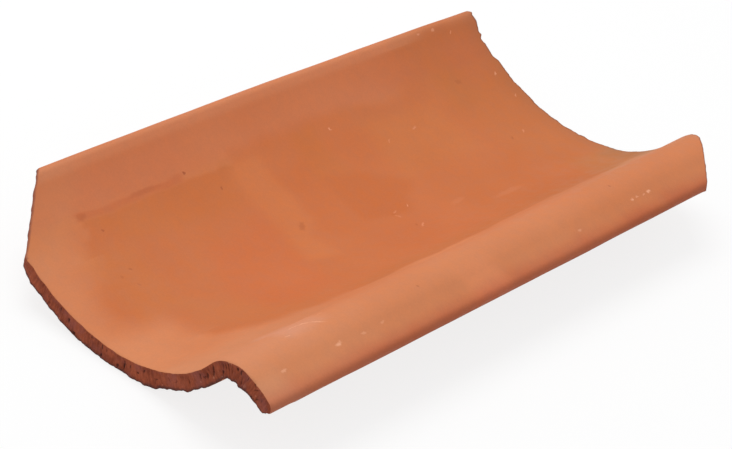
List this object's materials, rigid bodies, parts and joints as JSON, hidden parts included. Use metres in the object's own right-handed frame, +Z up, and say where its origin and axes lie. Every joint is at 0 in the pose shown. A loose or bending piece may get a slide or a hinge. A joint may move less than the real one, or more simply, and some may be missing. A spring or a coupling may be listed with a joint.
{
  "type": "clay roof tile",
  "caption": "Hollow clay pantile with an S-shaped section: a wide trough and a small roll that laps over the next tile, with two opposite corners cut off.",
  "frame": {"origin": "on the floor, below the middle of the tile's box as it lies on the underside of its trough", "axes": "+Y along the tile from its tail to its head, +Z up, +X from the trough towards the roll"},
  "size_m": [0.2294, 0.4, 0.0543],
  "materials": {
    "fired_clay": "matte, unglazed"
  },
  "bodies": {
    "root": {"roof_tile": "fired_clay"}
  },
  "joints": []
}
